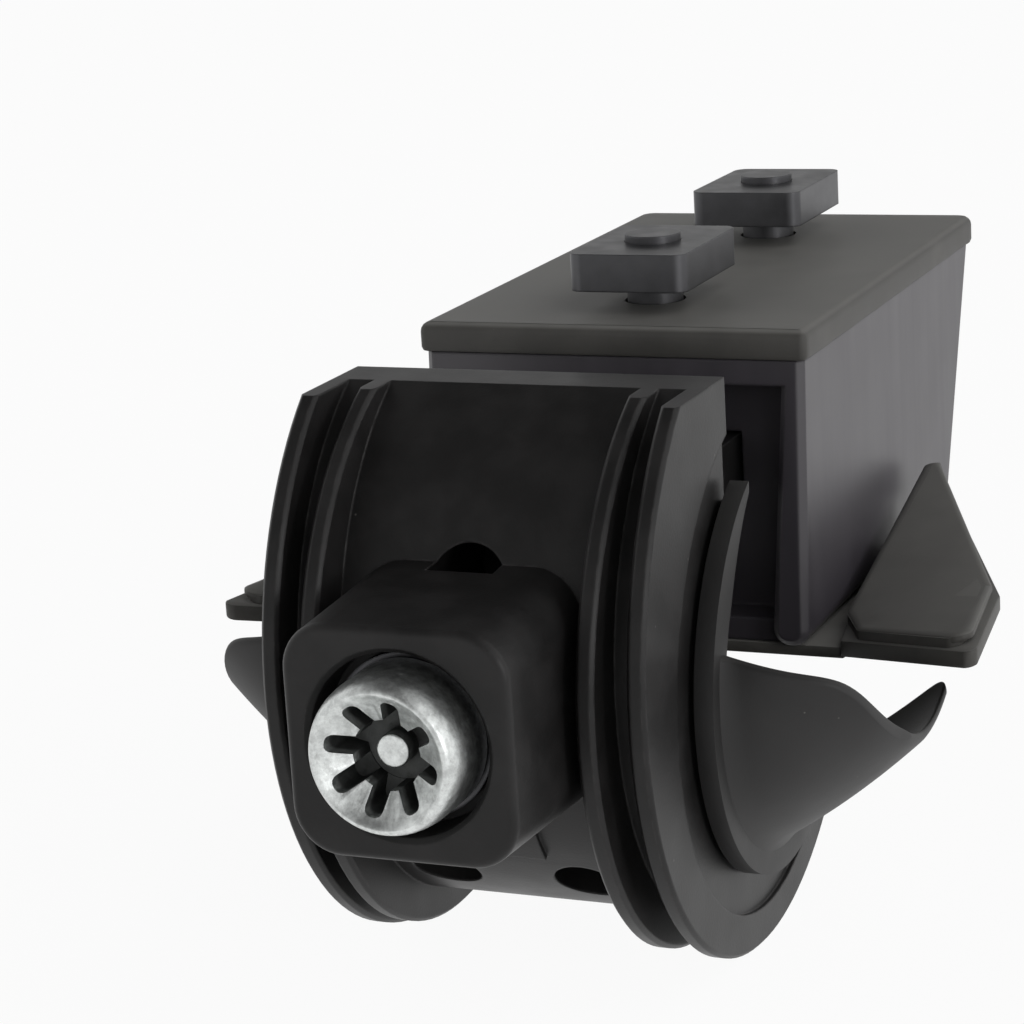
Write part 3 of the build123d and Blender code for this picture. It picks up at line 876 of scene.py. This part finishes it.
def ear_shape(sizes):
    """Sloping ear: a base, a groove round it and a thin crowned plate on top."""
    step = sizes.ear_step / MM
    groove = sizes.ear_groove / MM
    crown = 0.3
    nose, tip = EAR_NOSE.xy, EAR_TIP.xy
    root = [EAR_FRONT.xy, Vector((23.9, 11.1))]
    heel = [EAR_FRONT.xy + Vector((0, 0.4)), Vector((26.0, 10.2))]
    point = [Vector((24.3, PAD_REAR)), EAR_REAR.xy]
    plate_ends = [nose + Vector((-step, 1.7 * step)), tip + Vector((-step, 0))]
    core_ends = [end + Vector((-groove, groove / 2)) for end in plate_ends]
    base_radii = (1, 0.5, 0.9, 1.6, 0.7, 0.7)
    core_radii = (2, 2.5, 1.2, 1.4, 0.5, 0.5)
    plate_radii = (2, 2.5, 1.5, 1.6, 0.75, 0.75)
    base = ear_layer("ear_base", [*root, nose, tip, *point], base_radii, low=3.1, high=1.3)
    core = ear_layer("ear_core", [*heel, *core_ends, *point], core_radii, low=2, high=crown)
    plate = ear_layer("ear_plate", [*heel, *plate_ends, *point], plate_radii, low=0.9, high=crown)
    width = sizes.ear_round
    crown_top(plate, [(width * 0.4, crown * 0.6 * MM), (width * 0.6, crown * 0.4 * MM)])
    round_edges(base, 0.25 * MM, segments=2, above=50)
    round_edges(plate, 0.12 * MM, segments=2, above=50)
    ear = join([base, core, plate], "ear")
    fold_ear(ear)
    return ear


def pad_sheet():
    """Flat sheet under the support, with rounded corners at its rear."""
    low = at(-PAD_HALF, PAD_FRONT, PAD_TOP - PAD_T)
    sheet = box("pad_sheet", low, at(PAD_HALF, PAD_REAR, PAD_TOP))
    rear = at(0, PAD_REAR, 0).y
    bevel_edges(sheet, lambda a, b: upright(a, b) and a.y > rear - NEAR, PAD_CORNER * MM, segments=6)
    round_edges(sheet, 0.3 * MM, segments=2, above=60)
    return sheet


def ear_wall():
    """Upright wall between the sheet and an ear."""
    thickness = 1.6
    rear_y = PAD_REAR - PAD_CORNER
    low = -7.2
    front_top = -6.2
    rear_top = 1.7
    corners = ((EAR_FRONT.y, front_top), (EAR_FRONT.y, low), (rear_y, low), (rear_y, rear_top))
    return slab("ear_wall", [at(EAR_ROOT_X, y, z) for y, z in corners], (thickness * MM, 0, 0))


class FOOT_OT_jaw_pad(bpy.types.Operator):
    """Rubber jaw pad under the support with an ear at each side"""

    bl_idname = "foot.jaw_pad"
    bl_label = "Jaw pad"

    def execute(self, context):
        sheet = pad_sheet()
        ear = ear_shape(context.scene.foot_pad)
        wall = ear_wall()
        others = [mirrored(ear, "other_ear"), mirrored(wall, "other_wall")]
        pad = join([sheet, ear, wall, *others], "pad")
        smooth(pad)
        seat(pad, "support", "jaw_pad", "pad_rubber")
        return {"FINISHED"}


# Gasket on top of the support
FIXING_Y = 20.0
SCREW_WAY = 3.3


def gasket_block(sizes, low, high):
    """Block with rounded corners and edges."""
    rear_round = 1.9 * MM
    front_round = 0.8 * MM
    lower_round = 0.5 * MM
    gasket = box("gasket", low, high)
    bevel_edges(gasket, lambda a, b: upright(a, b) and a.y > high.y - NEAR, rear_round, segments=5)
    bevel_edges(gasket, lambda a, b: upright(a, b) and a.y < low.y + NEAR, front_round, segments=3)
    bevel_edges(gasket, lambda a, b: min(a.z, b.z) > high.z - NEAR, sizes.edge_round, segments=4)
    bevel_edges(gasket, lambda a, b: max(a.z, b.z) < low.z + NEAR, lower_round, segments=2)
    return gasket


def wave_lower_edge(gasket, sizes, low, high):
    """Cut the gasket across many times, and let its lower edge wave a little."""
    cuts = 48
    long_wave = 0.62
    short_wave = 1.37
    short_share = 0.6
    for cut in range(1, cuts):
        edit_all(gasket)
        level = low.y + (high.y - low.y) * cut / cuts
        bpy.ops.mesh.bisect(plane_co=(0, level, 0), plane_no=(0, 1, 0))
        clear_selection()
    middle = (low.z + high.z) / 2
    for vertex in gasket.data.vertices:
        if vertex.co.z < middle and abs(vertex.co.x) > high.x - MM:
            along = vertex.co.y / MM
            rise = sin(along * long_wave) + short_share * sin(along * short_wave + 1)
            vertex.co.z -= sizes.wave * rise


class FOOT_OT_gasket(bpy.types.Operator):
    """Soft gasket on top of the support"""

    bl_idname = "foot.gasket"
    bl_label = "Bar gasket"

    def execute(self, context):
        sizes = context.scene.foot_gasket
        low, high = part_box("bar_gasket")
        gasket = gasket_block(sizes, low, high)
        wave_lower_edge(gasket, sizes, low, high)
        for sign in SIDES:
            below = Vector((0, sign * FIXING_Y * MM, low.z - MM))
            above = Vector((0, sign * FIXING_Y * MM, high.z + MM))
            cut_away(gasket, rod("screw_way", below, above, SCREW_WAY * MM))
        smooth(gasket)
        seat(gasket, "support", "bar_gasket", "pad_rubber")
        return {"FINISHED"}


# Clamp bolt
def bolt_point(radius, y):
    """Point of the bolt's outline."""
    return at(radius, y, BOLT_Z)


def bolt_head(sizes):
    """Domed head with a conical dish, a star of slots and a pin."""
    rim = sizes.head_diameter / MM / 2
    rim_edge = 0.4
    dome_steps = 10
    dome = 3.3
    lip = 6.35
    lip_edge = 0.2
    lip_drop = 0.05
    past_core = 0.3
    past_head = 2
    pin_sunk = 0.5
    floor_step = 0.03 * MM
    outline = [(0, HEAD_SEAT), (rim - rim_edge, HEAD_SEAT), (rim, HEAD_SEAT - rim_edge)]
    for step in range(dome_steps + 1):
        turn = pi / 2 * step / dome_steps
        outline.append((lip + (rim - lip) * cos(turn), HEAD_FRONT + dome * (1 - sin(turn))))
    outline += [(DISH_R + lip_edge, HEAD_FRONT + lip_drop), (DISH_R, HEAD_FRONT + DISH_EDGE)]
    dish_floor = HEAD_FRONT + DISH_DEPTH + DISH_SLOPE * past_core
    outline += [(SOCKET_CORE - past_core, dish_floor), (0, dish_floor)]
    points = [bolt_point(*point) for point in outline]
    head = turned("bolt_head", points, steps=96, centre=at(0, 0, BOLT_Z), axis=(0, 1, 0))
    before = bolt_point(0, HEAD_FRONT - past_head)
    floor = bolt_point(0, SOCKET_FLOOR)
    cut_away(head, rod("socket_core", before, floor, SOCKET_CORE * MM))
    half = sizes.slot_width / 2
    for step in range(sizes.slots // 2):
        turn = 2 * pi * (step + sizes.slot_turn) / sizes.slots
        low = Vector((-SOCKET_TIP * MM, before.y, -half))
        depth = floor.y - (step + 1) * floor_step
        slot = box("socket_slot", low, Vector((SOCKET_TIP * MM, depth, half)))
        bevel_edges(slot, lambda a, b: abs(a.y - b.y) > MM, half * 0.8, segments=4)
        middle = Matrix.Translation((0, 0, floor.z))
        slot.data.transform(middle @ Matrix.Rotation(turn, 4, "Y"))
        cut_away(head, slot)
    pin_root = bolt_point(0, SOCKET_FLOOR + pin_sunk)
    pin = rod("socket_pin", pin_root, bolt_point(0, PIN_TOP), PIN_R * MM, sides=32)
    round_edges(pin, 0.25 * MM)
    round_edges(head, 0.16 * MM, segments=2, above=40)
    return [head, pin]


def bolt_shank(sizes):
    """Shank with a rolled thread."""
    pitch = sizes.pitch / MM
    start = HEAD_SEAT - 0.5
    neck = HEAD_SEAT + 4
    run_in = 2
    depth = 0.6
    flank = 1.6
    crest = 0.3
    end_edge = 0.8
    rows_per_turn = 8

    def place_point(across, along):
        """Across runs once round the shank, along from its root in the head to its end."""
        turn = 2 * pi * across
        y = start + along * (BOLT_END - start)
        phase = ((y / pitch) - across) % 1
        groove = depth * max(0, min(1, flank * abs(2 * phase - 1) - crest))
        groove *= min(1, max(0, (y - neck) / run_in))
        radius = BOLT_R - groove - max(0, y - BOLT_END + end_edge)
        return at(radius * cos(turn), y, BOLT_Z + radius * sin(turn))

    rows = int((BOLT_END - HEAD_SEAT) / pitch * rows_per_turn)
    shank = shaped_sheet("bolt_shank", columns=24, rows=rows, place_point=place_point)
    close_shell(shank)
    return shank


class FOOT_OT_clamp_bolt(bpy.types.Operator):
    """Clamp bolt with a domed security head and a threaded shank"""

    bl_idname = "foot.clamp_bolt"
    bl_label = "Clamp bolt"

    def execute(self, context):
        sizes = context.scene.foot_bolt
        bolt = join([*bolt_head(sizes), bolt_shank(sizes)], "bolt")
        smooth(bolt)
        seat(bolt, "bolt", "clamp_bolt", "zinc_steel")
        return {"FINISHED"}


# Nodes of the frame that keep their shape
NODE_FINISHES = {
    "outer_claw": "satin_plastic",
    "support_body": "glossy_plastic",
    "bolt_washer": "dark_steel",
    "bolt_retainer": "zinc_steel",
    "clamp_nut": "dark_steel",
    "bar_screws": "dark_steel",
    "bar_washers": "dark_steel",
    "channel_nuts": "dark_steel",
}


class FOOT_OT_finishes(bpy.types.Operator):
    """Finishes of the moulded bodies and the small fixings"""

    bl_idname = "foot.finishes"
    bl_label = "Finishes"

    def execute(self, context):
        for name, finish in NODE_FINISHES.items():
            paint(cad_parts[name], finish)
        return {"FINISHED"}


# Stage, with the turn and place of the photograph's camera
CAMERA_RIGHT = Vector((0.92346, 0.37930, -0.05800))
CAMERA_UP = Vector((-0.04479, 0.25666, 0.96546))
CAMERA_PLACE = Vector((109.26, -317.43, 60.40)) * MM


def add_camera(stage):
    """Camera at the photograph's angle."""
    clear_selection()
    bpy.ops.object.camera_add()
    camera = bpy.context.object
    camera.name = "camera"
    back = CAMERA_RIGHT.cross(CAMERA_UP).normalized()
    turn = Matrix((CAMERA_RIGHT.normalized(), back.cross(CAMERA_RIGHT).normalized(), back)).transposed()
    camera.matrix_world = Matrix.Translation(CAMERA_PLACE) @ turn.to_4x4()
    camera.data.lens = stage.lens
    camera.data.sensor_width = 36
    camera.data.clip_start = 0.01
    camera.data.clip_end = 50
    bpy.context.scene.camera = camera


def add_light(name, place, target, size, energy):
    """Square area light that faces a target."""
    clear_selection()
    bpy.ops.object.light_add(type="AREA", location=place)
    light = bpy.context.object
    light.name = name
    light.rotation_euler = (target - place).to_track_quat("-Z", "Y").to_euler()
    light.data.size = size
    light.data.energy = energy


def add_world(stage):
    """Surroundings that are white all round, with a dim band overhead along the part."""
    world = bpy.data.worlds.new("studio")
    bpy.context.scene.world = world
    made = Finish(world)
    direction = made.node("ShaderNodeTexCoord", output="Generated")
    height = made.node("ShaderNodeSeparateXYZ", sockets={"Vector": direction}, output="Z")
    aside = made.node("ShaderNodeSeparateXYZ", sockets={"Vector": direction}, output="X")
    band = made.between(aside, 0.45, 0.1) * made.between(aside, -0.8, -0.45)
    band = band * made.between(height, 0.05, 0.6)
    level = stage.surround - band * (stage.surround - stage.overhead)
    light = made.node("ShaderNodeBackground", sockets={"Color": (1, 1, 1), "Strength": level})
    made.node("ShaderNodeOutputWorld", sockets={"Surface": light})


def add_floor(low):
    """Pale floor that keeps the object's shadow."""
    floor_tone = (0.86, 0.86, 0.86)
    glow_share = 0.94
    clear_selection()
    bpy.ops.mesh.primitive_plane_add(size=12, location=(0, 0, low))
    floor = new_piece("floor")
    made = Finish(bpy.data.materials.new("floor"))
    matte = made.node("ShaderNodeBsdfDiffuse", sockets={"Color": floor_tone})
    glow = made.node("ShaderNodeEmission", sockets={"Color": (1, 1, 1), "Strength": 1})
    path = "ShaderNodeLightPath"
    seen = made.node(path, output="Is Camera Ray") + made.node(path, output="Is Glossy Ray")
    seen = seen + made.node(path, output="Is Transmission Ray")
    share = glow_share * (seen > 0.5)
    both = made.node("ShaderNodeMixShader", sockets={0: share, 1: matte, 2: glow})
    made.node("ShaderNodeOutputMaterial", sockets={"Surface": both})
    floor.data.materials.append(made.owner)
    floor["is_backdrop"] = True


class FOOT_OT_stage(bpy.types.Operator):
    """Floor, soft studio light and camera"""

    bl_idname = "foot.stage"
    bl_label = "Stage"

    def execute(self, context):
        stage = context.scene.foot_stage
        low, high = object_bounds()
        middle = (low + high) / 2
        add_floor(low.z)
        add_world(stage)
        add_light("key_light", Vector((0.75, 0.25, 0.22)), middle, size=0.9, energy=stage.key_power)
        add_light("edge_light", Vector((0.6, -0.35, 0.12)), middle, size=0.12, energy=stage.edge_power)
        add_light("fill_light", Vector((-0.35, -0.55, 0.45)), middle, size=0.6, energy=stage.fill_power)
        add_camera(stage)
        context.scene.view_settings.view_transform = "Standard"
        return {"FINISHED"}


class FOOT_PT_panel(bpy.types.Panel):
    """Pieces of the foot with their sizes"""

    bl_idname = "FOOT_PT_panel"
    bl_label = "Roof bar foot"
    bl_space_type = "VIEW_3D"
    bl_region_type = "UI"
    bl_category = "Roof bar foot"

    def draw(self, context):
        """List the operators, then the sizes of each group."""
        for operator in OPERATORS:
            self.layout.operator(operator.bl_idname)
        for name, group in GROUPS.items():
            part = self.layout.box()
            part.label(text=group.__doc__)
            for key in group.__annotations__:
                part.prop(getattr(context.scene, name), key)


OPERATORS = (
    FOOT_OT_finishes,
    FOOT_OT_liner,
    FOOT_OT_jaw_pad,
    FOOT_OT_gasket,
    FOOT_OT_clamp_bolt,
    FOOT_OT_stage,
)


def register():
    """Make the sizes, the operators and the panel known to Blender."""
    for group in GROUPS.values():
        bpy.utils.register_class(group)
    for name, group in GROUPS.items():
        setattr(bpy.types.Scene, name, PointerProperty(type=group))
    for operator in OPERATORS:
        bpy.utils.register_class(operator)
    bpy.utils.register_class(FOOT_PT_panel)


def unregister():
    """Take back what register has made known."""
    bpy.utils.unregister_class(FOOT_PT_panel)
    for operator in reversed(OPERATORS):
        bpy.utils.unregister_class(operator)
    for name in GROUPS:
        delattr(bpy.types.Scene, name)
    for group in reversed(GROUPS.values()):
        bpy.utils.unregister_class(group)


def main():
    """Build every piece in order."""
    register()
    bpy.ops.foot.finishes()
    bpy.ops.foot.liner()
    bpy.ops.foot.jaw_pad()
    bpy.ops.foot.gasket()
    bpy.ops.foot.clamp_bolt()
    bpy.ops.foot.stage()
    clear_selection()


if __name__ == "__main__":
    main()
